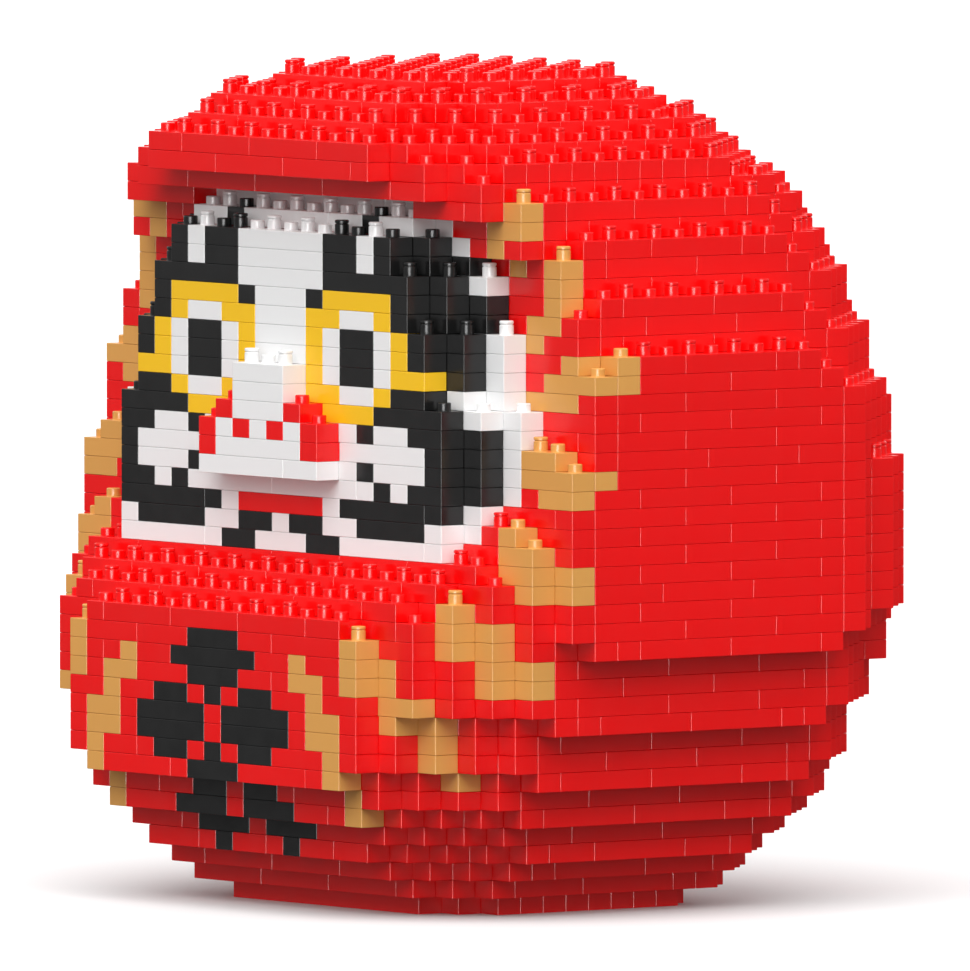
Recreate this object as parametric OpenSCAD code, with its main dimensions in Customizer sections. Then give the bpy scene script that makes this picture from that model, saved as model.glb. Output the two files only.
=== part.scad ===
// Daruma doll built from small studded bricks, laid in forty-four courses.
// Frame: +Z up, face looking along -Y, origin under the middle of the base.
// A cell is one stud wide: column i runs along X (0 is the middle),
// row j runs along Y from the belly to the back, course k runs up.

/* [Lattice] */
// Distance from stud to stud
pitch = 6; // [5:0.1:8]
// Height of one course of bricks
course_h = 4; // [3.4:0.05:5.5]
// Joint between two neighbouring bricks
joint_gap = 0.1; // [0.06:0.01:0.2]
// Joint between two courses
bed_gap = 0.05; // [0.03:0.01:0.1]

/* [Studs] */
// Diameter of a stud
stud_d = 3; // [2.4:0.1:3.6]
// Height of a short stud
short_stud_h = 1.8; // [1.4:0.1:2.2]
// Height of a tall stud
tall_stud_h = 3; // [2.4:0.1:3.6]
// Play between a stud and its socket, all round
socket_play = 0.05; // [0.03:0.01:0.1]

/* [Bond] */
// Longest brick, in cells
brick_len = 4; // [3:1:6]
// Longest brick in a patch of another colour, in cells
patch_len = 5; // [3:1:6]
// Cells between two hidden press fits in a row
press_fit_step = 5; // [3:1:8]

/* [Hidden] */
$fn = 24;
DEPTH_CELLS = 23;
LAST = 43;
SINK = 0.3;  // how far a stud reaches into its own brick
y_mid = DEPTH_CELLS * pitch / 2;

RED = "#d8161b";
WHITE = "#ececec";
BLACK = "#26262a";
YELLOW = "#f2c02a";
GOLD = "#d79b4f";

// Corners of a course, each as [half width, row]. A stair goes one cell
// out and one cell back at every step.
function stair(x, y, n) = [for (t = [0:n]) [x + t, y + t]];
function back_stair(x, y, n) = [for (t = [0:n]) [x - t, y + t]];

CHEEK_TOP = [[8.5, 3], [9.5, 4], [10.5, 5], [14.5, 6]];
CHEEK = [[9.5, 3], [10.5, 4], [11.5, 5], [14.5, 6]];
CHEEK_LOW = [[9.5, 3], [10.5, 4], [14.5, 5]];
BELLY = concat([[8.5, 0]], stair(10.5, 1, 3));
BROW = [[7.5, 3], [8.5, 4], [9.5, 5]];
FOREHEAD = [[6.5, 3], [7.5, 4]];

// Front corners of every course, from the base up
FRONT = [
  stair(5.5, 5, 2), stair(6.5, 4, 2), stair(6.5, 3, 3), stair(6.5, 2, 4),
  stair(7.5, 2, 3), stair(7.5, 1, 4), stair(8.5, 1, 3), stair(7.5, 0, 5),
  stair(8.5, 0, 4), stair(8.5, 0, 4), stair(8.5, 0, 5), BELLY,
  BELLY, BELLY, concat(BELLY, [[14.5, 6]]), concat([[7.5, 0]], stair(10.5, 1, 4)),
  concat([[9.5, 1]], stair(11.5, 2, 3)), concat([[10.5, 2]], stair(12.5, 3, 2)),
  [[11.5, 3], [13.5, 4], [14.5, 5]], [[9.5, 3], [13.5, 4], [14.5, 5]],
  [[9.5, 3], [12.5, 4], [14.5, 5]], CHEEK_LOW, CHEEK_LOW, concat([[3.5, 2]], CHEEK_LOW),
  [[3.5, 2], [9.5, 3], [10.5, 4], [13.5, 5], [14.5, 6]], concat([[3.5, 2]], CHEEK),
  concat([[2.5, 2]], CHEEK), concat([[1.5, 2]], CHEEK_TOP),
  concat([[1.5, 2]], CHEEK_TOP), [[8.5, 3], [9.5, 4], [10.5, 5], [13.5, 6], [14.5, 7]],
  [[8.5, 3], [9.5, 4], [10.5, 5], [13.5, 6]], concat(BROW, [[13.5, 6]]),
  concat(BROW, [[12.5, 6], [13.5, 7]]), concat(BROW, [[12.5, 6]]),
  concat(FOREHEAD, [[8.5, 5], [12.5, 6]]), concat(FOREHEAD, [[11.5, 5], [12.5, 7]]),
  [[6.5, 4], [11.5, 5]], [[10.5, 4], [11.5, 5]], [[8.5, 3], [10.5, 4]],
  concat([[6.5, 2]], stair(8.5, 3, 2)), stair(6.5, 2, 3), stair(5.5, 3, 3),
  stair(5.5, 4, 2), stair(4.5, 6, 1)
];

WIDE_BACK = [[14.5, 18], [13.5, 20], [12.5, 21], [11.5, 22], [9.5, 23]];
HIP_BACK = [[13.5, 18], [12.5, 19], [11.5, 20], [10.5, 22]];

// Back corners of every course, from the base up
BACK = [
  back_stair(7.5, 15, 1), back_stair(8.5, 16, 1), back_stair(9.5, 16, 2),
  back_stair(10.5, 16, 2), back_stair(10.5, 17, 2), back_stair(11.5, 17, 3),
  back_stair(11.5, 18, 2), back_stair(12.5, 17, 4), back_stair(12.5, 18, 3),
  back_stair(12.5, 18, 3), back_stair(13.5, 17, 4), back_stair(13.5, 18, 4),
  back_stair(13.5, 18, 4), HIP_BACK, concat([[14.5, 17]], HIP_BACK),
  back_stair(14.5, 18, 5), WIDE_BACK, WIDE_BACK, WIDE_BACK, WIDE_BACK,
  WIDE_BACK, WIDE_BACK, WIDE_BACK, WIDE_BACK, back_stair(14.5, 18, 5),
  back_stair(14.5, 18, 5), back_stair(14.5, 18, 5), back_stair(14.5, 18, 4),
  back_stair(14.5, 17, 5), concat([[14.5, 16]], back_stair(13.5, 18, 4)),
  back_stair(13.5, 18, 4), back_stair(13.5, 17, 5),
  concat([[13.5, 16]], back_stair(12.5, 18, 3)), back_stair(12.5, 18, 3),
  back_stair(12.5, 17, 4), concat([[12.5, 16]], back_stair(11.5, 18, 2)),
  back_stair(11.5, 17, 3), concat([[11.5, 16]], back_stair(10.5, 18, 1)),
  back_stair(10.5, 17, 2), back_stair(10.5, 15, 4), back_stair(9.5, 15, 3),
  back_stair(8.5, 15, 2), back_stair(7.5, 14, 2), back_stair(5.5, 14, 1)
];

// Colour chart, as [course, row, letters from the middle outwards].
// Both halves of the doll are alike. R red, B blossom crest, G gold flame,
// W white face, K black face, Y eye rim, E white of the eye, P pupil,
// N nose, M nostril, L lip, a minus for no brick.
CHART = [
  [3, 2, "RRB"],
  [4, 2, "RBBB"],
  [5, 1, "RBBBRRRG"],
  [6, 1, "RBBRRRRG"],
  [7, 0, "BBRRRRRG"], [7, 3, "RRRRRRRRRRG"],
  [8, 0, "BRBBRRRG"], [8, 2, "RRRRRRRRRRG"],
  [9, 0, "RBBBBRGG"], [9, 2, "RRRRRRRRRRG"],
  [10, 0, "RBBBBRGG"], [10, 1, "RRRRRRRRRG"], [10, 2, "RRRRRRRRRRG"],
  [11, 0, "BRBBRRG"], [11, 1, "RRRRRRRRRGG"],
  [12, 0, "BBRRRGGRG"], [12, 1, "RRRRRRRRRG"], [12, 3, "RRRRRRRRRRRRG"],
  [12, 4, "RRRRRRRRRRRRRG"],
  [13, 0, "BBBRRGRRG"], [13, 1, "RRRRRRRRRG"], [13, 3, "RRRRRRRRRRRRG"],
  [13, 4, "RRRRRRRRRRRRRG"],
  [14, 0, "BBRRRRRRG"], [14, 2, "RRRRRRRRRRRG"], [14, 3, "RRRRRRRRRRRRG"],
  [15, 2, "RRRRRRRRRRRG"], [15, 3, "RRRRRRRRRRRRG"],
  [16, 2, "RRRRRRRRRRRG"],
  [17, 4, "RRRRRRRRRRRRRG"], [17, 5, "RRRRRRRRRRRRRRG"],
  [18, 4, "RRRRRRRRRRRRGG"], [18, 5, "RRRRRRRRRRRRRRG"],
  [19, 3, "WWKKWWWWWW"], [19, 4, "RRRRRRRRRRRRGG"],
  [20, 3, "WKKWWKKKKW"], [20, 4, "RRRRRRRRRRWRG"],
  [21, 3, "LLLWKKKKKK"], [21, 4, "RRRRRRRRRRW"],
  [22, 3, "WWWWWWKWKK"], [22, 4, "RRRRRRRRRRK"], [22, 5, "RRRRRRRRRRRWRGG"],
  [23, 2, "NNNN"], [23, 3, "WWWWWKWWWK"], [23, 4, "RRRRRRRRRRK"],
  [23, 5, "RRRRRRRRRRRWGGG"], [23, 6, "RRRRRRRRRRRRRRG"],
  [24, 2, "NNNM"], [24, 3, "WWWWWWWWWK"], [24, 4, "RRRRRRRRRRK"],
  [24, 5, "RRRRRRRRRRRWGG"],
  [25, 2, "NMNM"], [25, 3, "WWWWWKWWKK"], [25, 4, "RRRRRRRRRRK"],
  [25, 5, "RRRRRRRRRRRW"],
  [26, 2, "NNM"], [26, 3, "WWWYYYKKKK"], [26, 4, "RRRRRRRRRRW"],
  [26, 5, "RRRRRRRRRRRW"],
  [27, 2, "NN"], [27, 3, "WWYYEEYKK"], [27, 4, "RRRRRRRRRW"],
  [27, 5, "RRRRRRRRRRW"], [27, 6, "RRRRRRRRRRRGGG"],
  [28, 2, "NN"], [28, 3, "WWYEPPEYY"], [28, 4, "RRRRRRRRRK"],
  [28, 5, "RRRRRRRRRRW"], [28, 6, "RRRRRRRRRRRRGGG"], [28, 7, "RRRRRRRRRRRRRRG"],
  [29, 3, "WWYEPPEYK"], [29, 4, "RRRRRRRRRK"], [29, 5, "RRRRRRRRRRW"],
  [29, 6, "RRRRRRRRRRRRRG"], [29, 7, "RRRRRRRRRRRRRRG"],
  [30, 3, "WWYEPPEYK"], [30, 4, "RRRRRRRRRK"], [30, 5, "RRRRRRRRRRW"],
  [30, 6, "RRRRRRRRRRRG"],
  [31, 3, "WWYYEEYK"], [31, 4, "RRRRRRRRK"], [31, 5, "RRRRRRRRRK"],
  [31, 6, "RRRRRRRRRRRGG"],
  [32, 3, "WWKYYYYK"], [32, 4, "RRRRRRRRK"], [32, 5, "RRRRRRRRRK"],
  [32, 6, "RRRRRRRRRRRRG"],
  [33, 3, "WWWKKKKK"], [33, 4, "RRRRRRRRK"], [33, 5, "RRRRRRRRRW"],
  [33, 6, "RRRRRRRRRRRRG"],
  [34, 3, "WWWKKWK"], [34, 4, "RRRRRRRK"], [34, 5, "RRRRRRRRK"],
  [34, 6, "RRRRRRRRRRGRG"],
  [35, 3, "WWWKKWK"], [35, 4, "RRRRRRRK"], [35, 5, "RRRRRRRRWRGR"],
  [36, 4, "WWWWKWW"], [36, 5, "RRRRRRRWRRGG"],
  [37, 4, "-------RRRR"], [37, 5, "WWWWWWWRRRRG"]
];

// Flame tips that end in a tall stud, as [column, row, course]
FLAME_TIPS = [[8, 0, 14], [12, 6, 34]];

// Chart rows of one course, looked up once for every course
COURSE_CHART = [for (k = [0:LAST + 1]) [for (c = CHART) if (c[0] == k) c]];

function pick(v) = len(v) == 0 ? 0 : max(v);
function front_half(k, j) = pick([for (p = FRONT[k]) if (p[1] <= j) p[0]]);
function back_half(k, j) = pick([for (p = BACK[k]) if (p[1] > j) p[0]]);
function row_half(k, j) = min(front_half(k, j), back_half(k, j));

// Half width of every row of every course
HALF = [for (k = [0:LAST + 1]) [for (j = [0:DEPTH_CELLS]) k > LAST ? 0 : row_half(k, j)]];
function half(k, j) = k < 0 || k > LAST || j < 0 || j > DEPTH_CELLS ? 0 : HALF[k][j];

function letter_in(c, i, j) =
  let (hit = [for (r = c) if (r[1] == j && abs(i) < len(r[2])) r[2][abs(i)]])
  len(hit) == 0 ? "R" : hit[0];
function charted(k, i, j) = letter_in(COURSE_CHART[k], i, j);

// At a step in the outline, the colour of the brick in front of it runs on
// one cell into the wall, under the bricks that stand before it
function runs_inwards(k, x, j) =
  x < half(k, j - 1) && x + 1 > half(k, j - 1) && x + 1 < half(k, j) && x < half(k + 1, j);
function letter(k, i, j) =
  charted(k, i, j) == "R" && runs_inwards(k, abs(i), j) ? charted(k, abs(i) + 1, j)
  : charted(k, i, j);
function inside(k, i, j) = abs(i) < half(k, j) && letter(k, i, j) != "-";

// Walls: so many whole rows at the front and the back, a closed base and
// a closed crown, and two or three cells along the flanks.
function first_row(k) = FRONT[k][0][1];
function last_row(k) = BACK[k][len(BACK[k]) - 1][1] - 1;
function whole_rows(k) = (k >= 23 && k <= 28) || k >= 36 ? 3 : 2;
function is_whole(k, j) =
  k == 0 || k == LAST || j < first_row(k) + whole_rows(k) || j > last_row(k) - 2;
function flank_cells(k) = k >= 38 ? 3 : 2;
function narrowest(k, j) = min(half(k, j - 1), half(k, j), half(k, j + 1));
function inner_half(k, j) = is_whole(k, j) ? 0 : max(0, narrowest(k, j) - flank_cells(k));
function built(k, i, j) =
  k >= 0 && k <= LAST && inside(k, i, j) && abs(i) > inner_half(k, j) - (is_whole(k, j) ? 1 : 0);

// Side walls with a straight stretch are laid lengthwise, two cells wide
function is_flank(k, j) =
  !is_whole(k, j) && half(k, j - 1) == half(k, j) && half(k, j + 1) == half(k, j)
  && flank_cells(k) == 2;

// The base and the crown are planks as long as the row
function breaks_bond(k, n) =
  k > 0 && k < LAST && (n + 2 * (k % 2) + (k % 7 == 3 ? 1 : 0)) % brick_len == 0;
function next_stop(stops, n, last) = n + 1 < len(stops) ? stops[n + 1] - 1 : last;

// Rows whose bricks reach one row further back, so that they tie two rows
// together: the outer pair in even courses, the inner pair in odd ones
function is_tie_row(k, j) =
  j == first_row(k) + (k % 2) && is_whole(k, j + 1) || j == last_row(k) - 1 && k % 2 == 0;
function is_hidden(k, i, j) =
  inside(k, i - 1, j) && inside(k, i + 1, j) && inside(k, i, j + 1)
  && inside(k - 1, i, j) && inside(k + 1, i, j);
function is_deep(k, i, j) =
  is_tie_row(k, j) && inside(k, i, j) && inside(k, i, j + 1)
  && (letter(k, i, j) == letter(k, i, j + 1) || is_hidden(k, i, j + 1));
function is_taken(k, i, j) = is_deep(k, i, j - 1) || !inside(k, i, j);
function plan(k, i, j) = is_taken(k, i, j) ? "" : str(letter(k, i, j), is_deep(k, i, j));

// A single cell isn't left alone at the inner end of a wall
function is_inner_end(i, a, b) = (a > 0 && i == a + 1) || (b < 0 && i == b);

// Red walls follow the bond, and a patch of another colour starts its own run
function run_start(k, i, j) = plan(k, i - 1, j) == plan(k, i, j) ? run_start(k, i - 1, j) : i;
function breaks_row(k, i, j, a, b) =
  letter(k, i, j) == "R" ? breaks_bond(k, i + 40) && !is_inner_end(i, a, b)
  : (i - run_start(k, i, j)) % patch_len == 0;

// Bricks of one row between two columns: [first i, last i, first j, last j, letter]
function row_bricks(k, j, a, b) =
  let (
    stops = [for (i = [a:b])
      if (i == a || plan(k, i, j) != plan(k, i - 1, j) || breaks_row(k, i, j, a, b)) i]
  )
  [for (n = [0:len(stops) - 1])
    let (i = stops[n])
    if (!is_taken(k, i, j))
      [i, next_stop(stops, n, b), j, is_deep(k, i, j) ? j + 1 : j, letter(k, i, j)]];

function row_set(k, j) =
  let (
    b = floor(half(k, j)),
    a = floor(inner_half(k, j)) + 1
  )
  half(k, j) == 0 || is_flank(k, j) ? []
  : is_whole(k, j) || a <= 1 ? row_bricks(k, j, -b, b)
  : concat(row_bricks(k, j, -b, -a), row_bricks(k, j, a, b));

function flank_rows(k) = [for (j = [0:DEPTH_CELLS]) if (half(k, j) > 0 && is_flank(k, j)) j];

// Bricks of one flank, two cells wide, on side s (-1 or 1)
function flank_set(k, s) =
  let (
    rows = flank_rows(k),
    stops = [for (j = rows)
      let (c = s * floor(half(k, j)))
      if (j == rows[0] || !is_flank(k, j - 1) || letter(k, c, j) != letter(k, c, j - 1)
        || breaks_bond(k, j)) j]
  )
  len(rows) == 0 ? []
  : [for (n = [0:len(stops) - 1])
    let (
      b = floor(half(k, stops[n])),
      i0 = s > 0 ? b - 1 : -b
    )
    [i0, i0 + 1, stops[n], next_stop(stops, n, rows[len(rows) - 1]),
      letter(k, s * b, stops[n])]];

function course_bricks(k) =
  concat([for (j = [0:DEPTH_CELLS]) each row_set(k, j)], flank_set(k, -1), flank_set(k, 1));

BRICKS = [for (k = [0:LAST]) course_bricks(k)];

// Short and tall studs alternate like a chequerboard, apart from two flame tips
function is_flame_tip(i, j, k) = len([for (t = FLAME_TIPS) if (t == [abs(i), j, k]) t]) > 0;
function is_tall(i, j, k) = is_flame_tip(i, j, k) || (abs(i) + j + k + 1) % 2 == 0;
function has_press_fit(i, j, k) =
  built(k, i, j) && built(k + 1, i, j) && (i + 40 + 2 * j) % press_fit_step == 0;

module stud(i, j, k, h) {
  translate([i * pitch, (j + 0.5) * pitch - y_mid, (k + 1) * course_h - bed_gap - SINK])
    cylinder(d = stud_d, h = h + SINK);
}

module socket(i, j, k) {
  translate([i * pitch, (j + 0.5) * pitch - y_mid, k * course_h - SINK])
    cylinder(d = stud_d + 2 * socket_play, h = short_stud_h + socket_play + SINK);
}

// One brick with its sockets below and its studs above
module brick(b, k) {
  difference() {
    translate([(b[0] - 0.5) * pitch + joint_gap / 2, b[2] * pitch + joint_gap / 2 - y_mid,
      k * course_h])
      cube([(b[1] - b[0] + 1) * pitch - joint_gap, (b[3] - b[2] + 1) * pitch - joint_gap,
        course_h - bed_gap]);
    for (i = [b[0]:b[1]])
      for (j = [b[2]:b[3]])
        if (has_press_fit(i, j, k - 1))
          socket(i, j, k);
  }
  for (i = [b[0]:b[1]])
    for (j = [b[2]:b[3]])
      if (!inside(k + 1, i, j))
        stud(i, j, k, is_tall(i, j, k) ? tall_stud_h : short_stud_h);
      else if (has_press_fit(i, j, k))
        stud(i, j, k, short_stud_h);
}

module bricks_of(k, wanted) {
  for (b = BRICKS[k])
    if (b[4] == wanted)
      brick(b, k);
}

module all_of(wanted) {
  for (k = [0:LAST])
    bricks_of(k, wanted);
}

module red_course(n) { color(RED) bricks_of(n - 1, "R"); }
module white_face_bricks() { color(WHITE) all_of("W"); }
module black_face_bricks() { color(BLACK) all_of("K"); }
module eye_rim_bricks() { color(YELLOW) all_of("Y"); }
module eye_white_bricks() { color(WHITE) all_of("E"); }
module pupil_bricks() { color(BLACK) all_of("P"); }
module nose_bricks() { color(WHITE) all_of("N"); }
module nostril_bricks() { color(RED) all_of("M"); }
module lip_bricks() { color(RED) all_of("L"); }
module blossom_crest_bricks() { color(BLACK) all_of("B"); }
module gold_flame_bricks() { color(GOLD) all_of("G"); }

function two_digits(n) = n < 10 ? str("0", n) : str(n);
function course_name(n) = str("red_course_", two_digits(n));

for (n = [1:LAST + 1])
  red_course(n);
white_face_bricks();
black_face_bricks();
eye_rim_bricks();
eye_white_bricks();
pupil_bricks();
nose_bricks();
nostril_bricks();
lip_bricks();
blossom_crest_bricks();
gold_flame_bricks();
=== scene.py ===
"""Looks of the brick-built daruma doll: moulded bricks, studs, floor, light and camera."""

from __future__ import annotations

import logging
import math
from dataclasses import dataclass, field
from enum import Enum

import bmesh
import bpy
import numpy as np
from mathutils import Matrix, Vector

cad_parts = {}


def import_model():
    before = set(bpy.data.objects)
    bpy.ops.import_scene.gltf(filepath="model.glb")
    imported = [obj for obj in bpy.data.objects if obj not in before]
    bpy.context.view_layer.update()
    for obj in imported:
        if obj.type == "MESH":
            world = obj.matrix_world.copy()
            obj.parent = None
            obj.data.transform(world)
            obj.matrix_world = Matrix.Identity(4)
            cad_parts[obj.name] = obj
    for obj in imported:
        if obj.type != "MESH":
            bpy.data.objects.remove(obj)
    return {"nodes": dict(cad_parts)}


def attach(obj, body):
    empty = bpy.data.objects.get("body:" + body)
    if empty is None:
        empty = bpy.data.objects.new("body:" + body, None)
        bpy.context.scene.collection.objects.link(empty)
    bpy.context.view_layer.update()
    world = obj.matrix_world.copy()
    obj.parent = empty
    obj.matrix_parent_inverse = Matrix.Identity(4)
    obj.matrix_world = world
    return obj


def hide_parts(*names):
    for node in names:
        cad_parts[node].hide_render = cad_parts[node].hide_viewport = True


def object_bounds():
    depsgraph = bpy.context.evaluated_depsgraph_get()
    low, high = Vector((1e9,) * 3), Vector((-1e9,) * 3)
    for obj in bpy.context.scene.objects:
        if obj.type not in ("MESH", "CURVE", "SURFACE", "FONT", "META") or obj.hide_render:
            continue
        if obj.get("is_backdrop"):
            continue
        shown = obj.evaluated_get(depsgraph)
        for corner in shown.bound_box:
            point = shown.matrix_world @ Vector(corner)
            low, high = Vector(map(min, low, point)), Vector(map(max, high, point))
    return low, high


LOG = logging.getLogger("daruma")
ROOT = "root"


class Colour(Enum):
    """The record's material slot of each moulding colour."""

    RED = "red_abs"
    WHITE = "white_abs"
    BLACK = "black_abs"
    YELLOW = "yellow_abs"
    GOLD = "gold_abs"


class StudKind(Enum):
    """The two studs that the bricks carry."""

    SHORT = 0
    TALL = 1


@dataclass(frozen=True)
class Lattice:
    """The grid that every brick lies on, in metres.

    Attributes:
        pitch: Distance from stud to stud.
        course: Height of one course of bricks.
        bed_gap: Joint between two courses.
        depth_cells: Cells from the front of the doll to its back.
    """

    pitch: float = 0.006
    course: float = 0.004
    bed_gap: float = 0.00005
    depth_cells: int = 23

    @property
    def y_mid(self) -> float:
        """Distance from the front of the lattice to its middle."""
        return self.depth_cells * self.pitch / 2

    def course_of(self, z: float) -> int:
        """Course number of a brick whose underside is at z."""
        return round(z / self.course)

    def body_top(self, k: int) -> float:
        """Height of the flat top of the bricks in course k."""
        return (k + 1) * self.course - self.bed_gap

    def columns(self, x: np.ndarray) -> np.ndarray:
        """Column numbers of places along X."""
        return np.floor(x / self.pitch + 0.5).astype(int)

    def rows(self, y: np.ndarray) -> np.ndarray:
        """Row numbers of places along Y."""
        return np.floor((y + self.y_mid) / self.pitch).astype(int)

    def stud_place(self, i: int, j: int, k: int) -> Vector:
        """Foot of the stud on column i, row j, of course k."""
        y = (j + 0.5) * self.pitch - self.y_mid
        return Vector((i * self.pitch, y, self.body_top(k)))


LATTICE = Lattice()
Cell = tuple[int, int, int]


@dataclass
class Brick:
    """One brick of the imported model.

    Attributes:
        low: Lowest corner of its body.
        high: Highest corner of its body.
        course: Course number, 0 at the base.
        studs: Height of the stud on each (column, row) that has one.
    """

    low: np.ndarray
    high: np.ndarray
    course: int
    studs: dict[tuple[int, int], float] = field(default_factory=dict)

    def cells(self) -> list[Cell]:
        """Lists every cell that the brick fills.

        Returns:
            The cells, as (column, row, course).
        """
        inset = LATTICE.pitch / 4
        columns = LATTICE.columns(np.array([self.low[0] + inset, self.high[0] - inset]))
        rows = LATTICE.rows(np.array([self.low[1] + inset, self.high[1] - inset]))
        return [
            (i, j, self.course)
            for i in range(columns[0], columns[1] + 1)
            for j in range(rows[0], rows[1] + 1)
        ]


@dataclass
class BrickReader:
    """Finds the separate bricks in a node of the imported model.

    Attributes:
        weld: Points that are closer than this are one point.
        lowest_stud: A point this far above a brick's flat top belongs to a stud.
        order_digits: Decimals that two bricks are put in order by.
    """

    weld: float = 1e-6
    lowest_stud: float = 0.0005
    order_digits: int = 5

    def read(self, node: bpy.types.Object) -> list[Brick]:
        """Splits a node into its bricks.

        Args:
            node: The CAD node's object.

        Returns:
            Its bricks, in the order of their lowest corners.
        """
        mesh = node.data
        points = np.zeros(len(mesh.vertices) * 3)
        mesh.vertices.foreach_get("co", points)
        points = points.reshape(-1, 3)
        mesh.calc_loop_triangles()
        corners = np.zeros(len(mesh.loop_triangles) * 3, dtype=np.int64)
        mesh.loop_triangles.foreach_get("vertices", corners)
        labels = self._islands(points, corners.reshape(-1, 3))
        bricks = [self._brick(points[labels == label]) for label in np.unique(labels)]
        return sorted(bricks, key=lambda b: tuple(np.round(b.low[::-1], self.order_digits)))

    def _islands(self, points: np.ndarray, triangles: np.ndarray) -> np.ndarray:
        """Gives every point the number of the island that it belongs to.

        Args:
            points: Every point of the mesh, one row each.
            triangles: The three point numbers of every triangle.

        Returns:
            The island number of each point.
        """
        keys = np.round(points / self.weld).astype(np.int64)
        _, same = np.unique(keys, axis=0, return_inverse=True)
        same = same.reshape(-1)
        welded = same[triangles]
        labels = np.arange(same.max() + 1)
        while True:
            lowest = labels[welded].min(axis=1)
            before = labels.copy()
            for corner in range(3):
                np.minimum.at(labels, welded[:, corner], lowest)
            labels = labels[labels]
            if np.array_equal(labels, before):
                return labels[same]

    def _brick(self, points: np.ndarray) -> Brick:
        """Measures one island of points.

        Args:
            points: The points of one brick, one row each.

        Returns:
            The brick.
        """
        low = points.min(axis=0)
        high = points.max(axis=0)
        course = LATTICE.course_of(low[2])
        top = LATTICE.body_top(course)
        high[2] = top
        brick = Brick(low, high, course)
        above = points[points[:, 2] > top + self.lowest_stud]
        columns = LATTICE.columns(above[:, 0])
        rows = LATTICE.rows(above[:, 1])
        for i, j, z in zip(columns, rows, above[:, 2]):
            place = (int(i), int(j))
            brick.studs[place] = max(brick.studs.get(place, 0.0), float(z) - top)
        return brick


@dataclass
class MeshHeap:
    """Gathers many small closed shapes into one mesh.

    Attributes:
        points: The points of each shape.
        normals: The surface normal at each of those points.
        tones: The tone of each of those points.
        faces: Every face, as point numbers.
        count: Points gathered so far.
    """

    points: list[np.ndarray] = field(default_factory=list)
    normals: list[np.ndarray] = field(default_factory=list)
    tones: list[np.ndarray] = field(default_factory=list)
    faces: list[list[int]] = field(default_factory=list)
    count: int = 0

    def add(
        self, points: np.ndarray, normals: np.ndarray, faces: list[list[int]], tone: float
    ) -> None:
        """Adds one closed shape.

        Args:
            points: Its points, one row each.
            normals: The surface normal at each point.
            faces: Its faces, as point numbers.
            tone: Its place in the range of shades of its colour, 0 to 1.
        """
        self.points.append(points)
        self.normals.append(normals)
        self.tones.append(np.full(len(points), tone))
        self.faces.extend([[self.count + n for n in face] for face in faces])
        self.count += len(points)

    def mesh(self, name: str) -> bpy.types.Mesh:
        """Makes the mesh, smooth shaded along its true normals.

        Args:
            name: The mesh's name.

        Returns:
            The mesh, with a "tone" on every point.
        """
        mesh = bpy.data.meshes.new(name)
        mesh.from_pydata(np.vstack(self.points).tolist(), [], self.faces)
        mesh.polygons.foreach_set("use_smooth", [True] * len(mesh.polygons))
        tone = mesh.attributes.new("tone", "FLOAT", "POINT")
        tone.data.foreach_set("value", np.concatenate(self.tones))
        mesh.normals_split_custom_set_from_vertices(np.vstack(self.normals).tolist())
        mesh.validate(clean_customdata=False)
        return mesh


@dataclass
class RoundedBlock:
    """A brick's body: a box with moulded edges, softer across the corners than along the beds.

    Attributes:
        radius: Radius of the moulded edge along X, Y and Z.
        swell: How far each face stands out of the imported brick, to close the joints.
        segments: Faces across each rounded edge.
        signs: Which corner of the block each point belongs to.
        directions: Where each point lies from the middle of its rounded corner.
        normals: The surface normal at each point.
        faces: The faces, as point numbers.
    """

    radius: tuple[float, float, float] = (0.0002, 0.0002, 0.00011)
    swell: tuple[float, float, float] = (0.00004, 0.00004, 0.000012)
    segments: int = 2
    signs: np.ndarray = field(init=False)
    directions: np.ndarray = field(init=False)
    normals: np.ndarray = field(init=False)
    faces: list[list[int]] = field(init=False)

    def __post_init__(self) -> None:
        """Makes the unit block that every brick is stretched from."""
        edge = 0.5
        shape = bmesh.new()
        bmesh.ops.create_cube(shape, size=2.0)
        bmesh.ops.bevel(
            shape,
            geom=shape.edges[:],
            offset=edge,
            segments=self.segments,
            profile=0.5,
            affect="EDGES",
        )
        shape.verts.ensure_lookup_table()
        unit = np.array([v.co[:] for v in shape.verts])
        self.signs = np.sign(unit)
        offsets = unit - self.signs * (1 - edge)
        self.directions = offsets / np.linalg.norm(offsets, axis=1)[:, None]
        normals = self.directions / np.array(self.radius)
        self.normals = normals / np.linalg.norm(normals, axis=1)[:, None]
        self.faces = [[v.index for v in f.verts] for f in shape.faces]
        shape.free()

    def place(self, heap: MeshHeap, brick: Brick, limits: np.ndarray, tone: float) -> None:
        """Adds one brick's body to the heap.

        Args:
            heap: Where the body goes.
            brick: The brick's place and size.
            limits: Lowest and highest corner of the whole doll, which it stays inside.
            tone: The brick's tone.
        """
        low = np.maximum(brick.low - self.swell, limits[0])
        high = np.minimum(brick.high + self.swell, limits[1])
        half = (high - low) / 2 - self.radius
        points = (low + high) / 2 + self.signs * half + self.directions * self.radius
        heap.add(points, self.normals, self.faces, tone)


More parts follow.
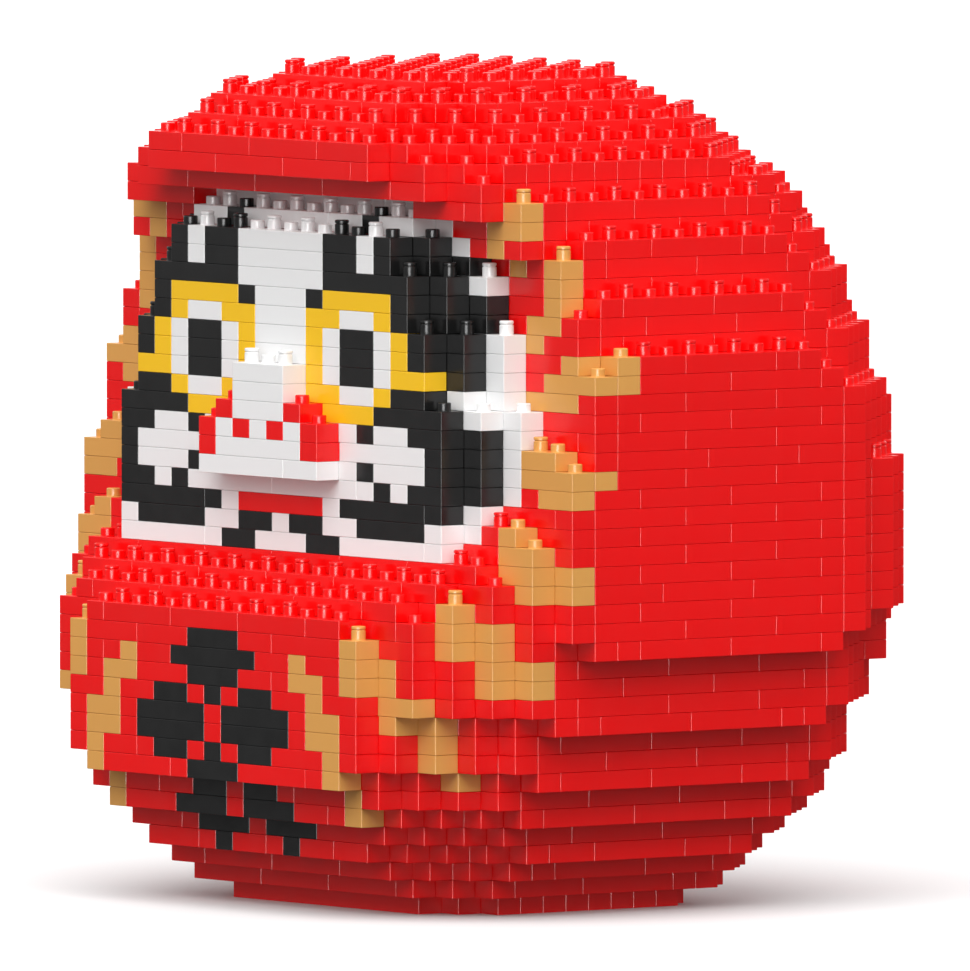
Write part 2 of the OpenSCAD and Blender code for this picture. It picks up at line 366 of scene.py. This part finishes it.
@dataclass
class TurnedStud:
    """A stud, turned about its axis from a profile with a rounded rim.

    Attributes:
        radius: Radius of the stud.
        rim: Radius of the rounded rim.
        flare: Size of the small fillet where the stud leaves the brick.
        sink: How far the stud reaches into the brick.
        cap: Height of the cap above the groove of a tall stud.
        groove: Depth of that groove.
        groove_width: Width of that groove.
        tall: A stud over this height is a tall one.
        sides: Faces around the stud.
        foot_steps: Rings across a right angle of the fillet at the foot.
        rim_steps: Rings across a right angle of the rim.
        lip_normal: Outward and upward parts of the normal on the lips of the groove.
    """

    radius: float = 0.00152
    rim: float = 0.00028
    flare: float = 0.0001
    sink: float = 0.0003
    cap: float = 0.00095
    groove: float = 0.00026
    groove_width: float = 0.0003
    tall: float = 0.0024
    sides: int = 32
    foot_steps: int = 3
    rim_steps: int = 4
    lip_normal: tuple[float, float] = (0.5, 0.87)

    def profile(self, height: float, kind: StudKind) -> list[tuple[float, float, float, float]]:
        """Works out the outline from the foot to the top.

        Args:
            height: Height of the stud above its brick.
            kind: A tall stud has a groove under its cap.

        Returns:
            Points as (radius, height, normal outwards, normal upwards).
        """
        wall = self.radius
        points = [(wall + self.flare, -self.sink, 1.0, 0.0)]
        for step in range(self.foot_steps + 1):
            angle = math.radians(90 / self.foot_steps * step)
            out = wall + self.flare * (1 - math.sin(angle))
            up = self.flare * (1 - math.cos(angle))
            points.append((out, up, math.sin(angle), math.cos(angle)))
        if kind is StudKind.TALL:
            low = height - self.cap
            high = low + self.groove_width
            lip = wall - self.groove / 5
            ease = self.groove / 3
            out, up = self.lip_normal
            points += [
                (wall, low - ease, 1.0, 0.0),
                (lip, low, out, up),
                (wall - self.groove, (low + high) / 2, 1.0, 0.0),
                (lip, high, out, -up),
                (wall, high + ease, 1.0, 0.0),
            ]
        for step in range(self.rim_steps + 1):
            angle = math.radians(90 / self.rim_steps * step)
            out = wall - self.rim * (1 - math.cos(angle))
            up = height - self.rim * (1 - math.sin(angle))
            points.append((out, up, math.cos(angle), math.sin(angle)))
        return points

    def place(self, heap: MeshHeap, foot: Vector, height: float, tone: float) -> None:
        """Adds one stud to the heap.

        Args:
            heap: Where the stud goes.
            foot: Middle of its foot, on top of the brick.
            height: Its height above the brick.
            tone: The brick's tone.
        """
        kind = StudKind.TALL if height > self.tall else StudKind.SHORT
        outline = self.profile(height, kind)
        turns = np.arange(self.sides) * 2 * math.pi / self.sides
        around = np.stack([np.cos(turns), np.sin(turns), np.zeros(self.sides)], axis=1)
        upward = np.array([0.0, 0.0, 1.0])
        points = [around * r + upward * z for r, z, _, _ in outline]
        normals = [around * n + upward * u for _, _, n, u in outline]
        faces = []
        for ring in range(len(outline) - 1):
            low = ring * self.sides
            for side in range(self.sides):
                after = (side + 1) % self.sides
                high = low + self.sides
                faces.append([low + side, low + after, high + after, high + side])
        top = (len(outline) - 1) * self.sides
        faces.append([top + side for side in range(self.sides)])
        faces.append(list(reversed(range(self.sides))))
        heap.add(np.vstack(points) + np.array(foot), np.vstack(normals), faces, tone)


@dataclass(frozen=True)
class MouldedPlastic:
    """Glossy plastic, moulded in one colour.

    Attributes:
        colour: Moulding colour, which is also the record's slot.
        tint: Base colour, linear.
        shade: How far the darkest brick is from the lightest.
        gloss: Roughness of the clean face.
        wear: How much rougher the most handled patches are.
        specular: Strength of the mirror reflection.
        swirl: How far the swirls of pigment move the shade.
        swirl_scale: Swirls per metre.
        patch_scale: Dull patches per metre.
        patch_range: Noise levels where a patch starts and where it is dullest.
        wave_scale: Waves per metre on a moulded face.
        wave_height: Height of those waves, in metres.
        wave_strength: How far the waves show.
    """

    colour: Colour
    tint: tuple[float, float, float]
    shade: float = 0.05
    gloss: float = 0.2
    wear: float = 0.05
    specular: float = 0.3
    swirl: float = 0.2
    swirl_scale: float = 220.0
    patch_scale: float = 240.0
    patch_range: tuple[float, float] = (0.35, 0.7)
    wave_scale: float = 130.0
    wave_height: float = 0.0001
    wave_strength: float = 0.02

    def material(self) -> bpy.types.Material:
        """Builds the node material.

        Returns:
            The material, named after its slot.
        """
        material = bpy.data.materials.new(self.colour.value)
        material.use_nodes = True
        tree = material.node_tree
        shader = tree.nodes["Principled BSDF"]
        shader.inputs["Specular IOR Level"].default_value = self.specular
        place = tree.nodes.new("ShaderNodeTexCoord")
        self._colour(tree, shader, place)
        self._gloss(tree, shader, place)
        self._surface(tree, shader, place)
        return material

    def _noise(
        self, tree: bpy.types.NodeTree, place: bpy.types.Node, scale: float, detail: float
    ) -> bpy.types.Node:
        """Adds a noise texture fixed to the object.

        Args:
            tree: The material's nodes.
            place: The texture coordinate node.
            scale: Cycles per metre.
            detail: Octaves of detail.

        Returns:
            The noise node.
        """
        noise = tree.nodes.new("ShaderNodeTexNoise")
        noise.inputs["Scale"].default_value = scale
        noise.inputs["Detail"].default_value = detail
        tree.links.new(place.outputs["Object"], noise.inputs["Vector"])
        return noise

    def _colour(
        self, tree: bpy.types.NodeTree, shader: bpy.types.Node, place: bpy.types.Node
    ) -> None:
        """Gives each brick its own shade, with faint swirls of pigment.

        Args:
            tree: The material's nodes.
            shader: The shader that it feeds.
            place: The texture coordinate node.
        """
        tone = tree.nodes.new("ShaderNodeAttribute")
        tone.attribute_name = "tone"
        swirl = self._noise(tree, place, self.swirl_scale, detail=3.0)
        blend = tree.nodes.new("ShaderNodeMath")
        blend.operation = "MULTIPLY_ADD"
        blend.inputs[1].default_value = self.swirl
        tree.links.new(swirl.outputs["Fac"], blend.inputs[0])
        tree.links.new(tone.outputs["Fac"], blend.inputs[2])
        ramp = tree.nodes.new("ShaderNodeValToRGB")
        dark, light = ramp.color_ramp.elements
        dark.color = (*[c * (1 - self.shade) for c in self.tint], 1.0)
        light.color = (*self.tint, 1.0)
        tree.links.new(blend.outputs[0], ramp.inputs["Fac"])
        tree.links.new(ramp.outputs["Color"], shader.inputs["Base Color"])

    def _gloss(
        self, tree: bpy.types.NodeTree, shader: bpy.types.Node, place: bpy.types.Node
    ) -> None:
        """Dulls the gloss in fine patches, as handling does.

        Args:
            tree: The material's nodes.
            shader: The shader that it feeds.
            place: The texture coordinate node.
        """
        patches = self._noise(tree, place, self.patch_scale, detail=2.0)
        spread = tree.nodes.new("ShaderNodeMapRange")
        spread.inputs["From Min"].default_value = self.patch_range[0]
        spread.inputs["From Max"].default_value = self.patch_range[1]
        spread.inputs["To Min"].default_value = self.gloss
        spread.inputs["To Max"].default_value = self.gloss + self.wear
        tree.links.new(patches.outputs["Fac"], spread.inputs["Value"])
        tree.links.new(spread.outputs["Result"], shader.inputs["Roughness"])

    def _surface(
        self, tree: bpy.types.NodeTree, shader: bpy.types.Node, place: bpy.types.Node
    ) -> None:
        """Adds the fine waviness of a moulded face.

        Args:
            tree: The material's nodes.
            shader: The shader that it feeds.
            place: The texture coordinate node.
        """
        waves = self._noise(tree, place, self.wave_scale, detail=1.0)
        bump = tree.nodes.new("ShaderNodeBump")
        bump.inputs["Strength"].default_value = self.wave_strength
        bump.inputs["Distance"].default_value = self.wave_height
        tree.links.new(waves.outputs["Fac"], bump.inputs["Height"])
        tree.links.new(bump.outputs["Normal"], shader.inputs["Normal"])


FINISHES = {
    Colour.RED: MouldedPlastic(Colour.RED, (0.83, 0.0025, 0.003)),
    Colour.WHITE: MouldedPlastic(Colour.WHITE, (0.82, 0.82, 0.82), shade=0.012),
    Colour.BLACK: MouldedPlastic(Colour.BLACK, (0.012, 0.012, 0.012), shade=0.2),
    Colour.YELLOW: MouldedPlastic(Colour.YELLOW, (0.93, 0.55, 0.012)),
    Colour.GOLD: MouldedPlastic(Colour.GOLD, (0.70, 0.34, 0.085)),
}


@dataclass
class Workshop:
    """What every sub-assembly shares: the frame, the shapes and the mixed plastics.

    Attributes:
        nodes: The frame's CAD nodes, by name.
        limits: Lowest and highest corner of the whole doll.
        block: The shape of a brick's body.
        stud: The shape of a stud.
        seed: Seed of the bricks' tones.
        tone_range: Tones run from 0 to this.
        bricks: The bricks of every node.
        filled: Every cell that holds a brick.
        plastics: The mixed material of every colour.
        random: Where the tones are drawn from.
    """

    nodes: dict[str, bpy.types.Object]
    limits: np.ndarray
    block: RoundedBlock = field(default_factory=RoundedBlock)
    stud: TurnedStud = field(default_factory=TurnedStud)
    seed: int = 7
    tone_range: float = 0.8
    bricks: dict[str, list[Brick]] = field(init=False)
    filled: set[Cell] = field(init=False)
    plastics: dict[Colour, bpy.types.Material] = field(init=False)
    random: np.random.Generator = field(init=False)

    def __post_init__(self) -> None:
        """Reads every brick, notes the filled cells and mixes the plastics."""
        reader = BrickReader()
        self.bricks = {name: reader.read(node) for name, node in sorted(self.nodes.items())}
        self.filled = {cell for bricks in self.bricks.values() for b in bricks for cell in b.cells()}
        self.plastics = {colour: finish.material() for colour, finish in FINISHES.items()}
        self.random = np.random.default_rng(self.seed)

    def is_covered(self, i: int, j: int, k: int) -> bool:
        """Says whether another brick sits on this cell."""
        return (i, j, k + 1) in self.filled


@dataclass
class BrickGroup:
    """The bricks of one node, made as one piece.

    Attributes:
        node: The CAD node that the piece stands for.
        colour: Its moulding colour.
        piece: The finished piece, once it is built.
    """

    node: str
    colour: Colour
    piece: bpy.types.Object | None = None

    def build(self, workshop: Workshop) -> None:
        """Moulds the bricks with their studs.

        Args:
            workshop: The shared shapes and the bricks read from the frame.
        """
        heap = MeshHeap()
        for brick in workshop.bricks[self.node]:
            tone = float(workshop.random.random()) * workshop.tone_range
            workshop.block.place(heap, brick, workshop.limits, tone)
            for (i, j), height in sorted(brick.studs.items()):
                if not workshop.is_covered(i, j, brick.course):
                    foot = LATTICE.stud_place(i, j, brick.course)
                    workshop.stud.place(heap, foot, height, tone)
        name = f"{self.node}_moulded"
        self.piece = bpy.data.objects.new(name, heap.mesh(name))
        bpy.context.scene.collection.objects.link(self.piece)

    def dress(self, workshop: Workshop) -> None:
        """Gives the piece its plastic and its place in the frame.

        Args:
            workshop: The mixed plastics.
        """
        self.piece.data.materials.append(workshop.plastics[self.colour])
        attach(self.piece, ROOT)
        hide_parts(self.node)


@dataclass
class SubAssembly:
    """Brick groups that belong together on the bench.

    Attributes:
        groups: The groups, in the order that they are built.
    """

    groups: list[BrickGroup] = field(default_factory=list)

    def build(self, workshop: Workshop) -> None:
        """Moulds every group.

        Args:
            workshop: What the groups share.
        """
        for group in self.groups:
            group.build(workshop)

    def dress(self, workshop: Workshop) -> None:
        """Colours and places every group.

        Args:
            workshop: What the groups share.
        """
        for group in self.groups:
            group.dress(workshop)


@dataclass
class RedShell(SubAssembly):
    """The red robe and hood, one piece for each course."""

    courses: int = 44

    def __post_init__(self) -> None:
        """Lists the courses from the base up."""
        names = [f"red_course_{n:02d}" for n in range(1, self.courses + 1)]
        self.groups = [BrickGroup(name, Colour.RED) for name in names]


@dataclass
class Face(SubAssembly):
    """The white face with its black brows, whiskers and cheeks."""

    def __post_init__(self) -> None:
        """Lists the two colours of the face."""
        self.groups = [
            BrickGroup("white_face_bricks", Colour.WHITE),
            BrickGroup("black_face_bricks", Colour.BLACK),
        ]


@dataclass
class Eyes(SubAssembly):
    """Both eyes: yellow rims, whites and black pupils."""

    def __post_init__(self) -> None:
        """Lists the parts of the eyes."""
        self.groups = [
            BrickGroup("eye_rim_bricks", Colour.YELLOW),
            BrickGroup("eye_white_bricks", Colour.WHITE),
            BrickGroup("pupil_bricks", Colour.BLACK),
        ]


@dataclass
class NoseAndMouth(SubAssembly):
    """The nose that stands proud of the face, its nostrils and the lips."""

    def __post_init__(self) -> None:
        """Lists the parts of the nose and the mouth."""
        self.groups = [
            BrickGroup("nose_bricks", Colour.WHITE),
            BrickGroup("nostril_bricks", Colour.RED),
            BrickGroup("lip_bricks", Colour.RED),
        ]


@dataclass
class Ornaments(SubAssembly):
    """The blossom crest on the belly and the gold flames on the robe."""

    def __post_init__(self) -> None:
        """Lists the ornaments."""
        self.groups = [
            BrickGroup("blossom_crest_bricks", Colour.BLACK),
            BrickGroup("gold_flame_bricks", Colour.GOLD),
        ]


@dataclass(frozen=True)
class Lamp:
    """A soft far-away light.

    Attributes:
        name: The lamp's name.
        turn: Its direction from straight ahead, towards +X, in degrees.
        rise: Its height above the horizon, in degrees, negative below it.
        spread: How wide it looks from the doll, in degrees.
        strength: Irradiance that it gives at the doll.
        gloss_only: True for a lamp that only glints on rounded edges.
    """

    name: str
    turn: float
    rise: float
    spread: float
    strength: float
    gloss_only: bool = False

    def build(self) -> None:
        """Hangs the lamp."""
        light = bpy.data.lights.new(self.name, "SUN")
        light.angle = math.radians(self.spread)
        light.energy = self.strength
        lamp = bpy.data.objects.new(self.name, light)
        away = direction(self.turn, self.rise)
        lamp.location = away
        lamp.rotation_euler = (-away).to_track_quat("-Z", "Y").to_euler()
        lamp.visible_diffuse = not self.gloss_only
        bpy.context.scene.collection.objects.link(lamp)


@dataclass
class Studio:
    """Floor, light and camera.

    Attributes:
        azimuth: Camera's turn from straight ahead, towards +X, in degrees.
        elevation: Camera's height, in degrees.
        distance: Camera's distance from what it looks at.
        target: The point that it looks at.
        lens: Focal length, in millimetres.
        sensor: Width of the sensor, in millimetres.
        shift: Sideways and upward shift of the lens, in sensor widths.
        floor_size: Length of each side of the floor, in metres.
        floor_shade: How light the floor is, 0 to 1.
        floor_roughness: Roughness of the floor.
        floor_specular: Strength of the floor's mirror reflection.
        room_glow: Light from the walls and the ceiling.
        floor_glow: Light from below the horizon.
        horizon: Height where the glow is that of the floor, and where that of the room.
        lamps: The lamps.
    """

    azimuth: float = 53.097
    elevation: float = 3.293
    distance: float = 6.640
    target: tuple[float, float, float] = (0.0, 0.003, 0.088)
    lens: float = 1156.06
    sensor: float = 36.0
    shift: tuple[float, float] = (0.00146, 0.0)
    floor_size: float = 60.0
    floor_shade: float = 0.8
    floor_roughness: float = 0.9
    floor_specular: float = 0.1
    room_glow: float = 1.0
    floor_glow: float = 0.1
    horizon: tuple[float, float] = (-0.05, 0.0)
    lamps: tuple[Lamp, ...] = (
        Lamp("key_light", turn=45.0, rise=50.0, spread=60.0, strength=2.7),
        Lamp("edge_light", turn=46.0, rise=-22.0, spread=50.0, strength=8.5, gloss_only=True),
    )

    def build(self) -> None:
        """Sets up the floor, the light and the camera."""
        self._floor()
        self._world()
        for lamp in self.lamps:
            lamp.build()
        self._camera()
        bpy.context.scene.view_settings.view_transform = "Standard"

    def _floor(self) -> None:
        """Lays a pale floor that neither lights the doll nor stops the light from below."""
        half = self.floor_size / 2
        mesh = bpy.data.meshes.new("floor")
        corners = [(-half, -half, 0), (half, -half, 0), (half, half, 0), (-half, half, 0)]
        mesh.from_pydata(corners, [], [(0, 1, 2, 3)])
        floor = bpy.data.objects.new("floor", mesh)
        bpy.context.scene.collection.objects.link(floor)
        material = bpy.data.materials.new("pale_floor")
        material.use_nodes = True
        shader = material.node_tree.nodes["Principled BSDF"]
        shader.inputs["Base Color"].default_value = (*[self.floor_shade] * 3, 1.0)
        shader.inputs["Roughness"].default_value = self.floor_roughness
        shader.inputs["Specular IOR Level"].default_value = self.floor_specular
        mesh.materials.append(material)
        floor.visible_diffuse = False
        floor.visible_glossy = False
        floor.visible_shadow = False
        floor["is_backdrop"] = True

    def _world(self) -> None:
        """Fills the room with soft white light from the walls and the ceiling."""
        world = bpy.data.worlds.new("studio")
        world.use_nodes = True
        tree = world.node_tree
        place = tree.nodes.new("ShaderNodeTexCoord")
        split = tree.nodes.new("ShaderNodeSeparateXYZ")
        spread = tree.nodes.new("ShaderNodeMapRange")
        spread.inputs["From Min"].default_value = self.horizon[0]
        spread.inputs["From Max"].default_value = self.horizon[1]
        spread.inputs["To Min"].default_value = self.floor_glow
        spread.inputs["To Max"].default_value = self.room_glow
        tree.links.new(place.outputs["Generated"], split.inputs["Vector"])
        tree.links.new(split.outputs["Z"], spread.inputs["Value"])
        sky = tree.nodes["Background"]
        sky.inputs["Color"].default_value = (1.0, 1.0, 1.0, 1.0)
        tree.links.new(spread.outputs["Result"], sky.inputs["Strength"])
        bpy.context.scene.world = world

    def _camera(self) -> None:
        """Stands the camera at its viewing angle."""
        away = direction(self.azimuth, self.elevation)
        data = bpy.data.cameras.new("camera")
        data.sensor_fit = "HORIZONTAL"
        data.sensor_width = self.sensor
        data.lens = self.lens
        data.shift_x, data.shift_y = self.shift
        camera = bpy.data.objects.new("camera", data)
        camera.location = Vector(self.target) + away * self.distance
        camera.rotation_euler = (-away).to_track_quat("-Z", "Y").to_euler()
        bpy.context.scene.collection.objects.link(camera)
        bpy.context.scene.camera = camera


def direction(turn: float, rise: float) -> Vector:
    """Works out a direction as seen from the doll.

    Args:
        turn: Angle from straight ahead, towards +X, in degrees.
        rise: Angle above the horizon, in degrees.

    Returns:
        A unit vector.
    """
    across = math.radians(turn)
    up = math.radians(rise)
    return Vector(
        (math.sin(across) * math.cos(up), -math.cos(across) * math.cos(up), math.sin(up))
    )


def plain(box: tuple[Vector, Vector]) -> list[list[float]]:
    return [[float(value) for value in corner] for corner in box]


def main() -> None:
    """Builds the doll, piece by piece, and the studio around it."""
    logging.basicConfig(level=logging.INFO, format="%(name)s: %(message)s")
    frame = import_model()
    cad_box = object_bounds()
    workshop = Workshop(frame["nodes"], np.array(plain(cad_box)))
    for assembly in (RedShell(), Face(), Eyes(), NoseAndMouth(), Ornaments()):
        assembly.build(workshop)
        assembly.dress(workshop)
        for group in assembly.groups:
            LOG.info("%s: %d faces", group.piece.name, len(group.piece.data.polygons))
    Studio().build()


if __name__ == "__main__":
    main()
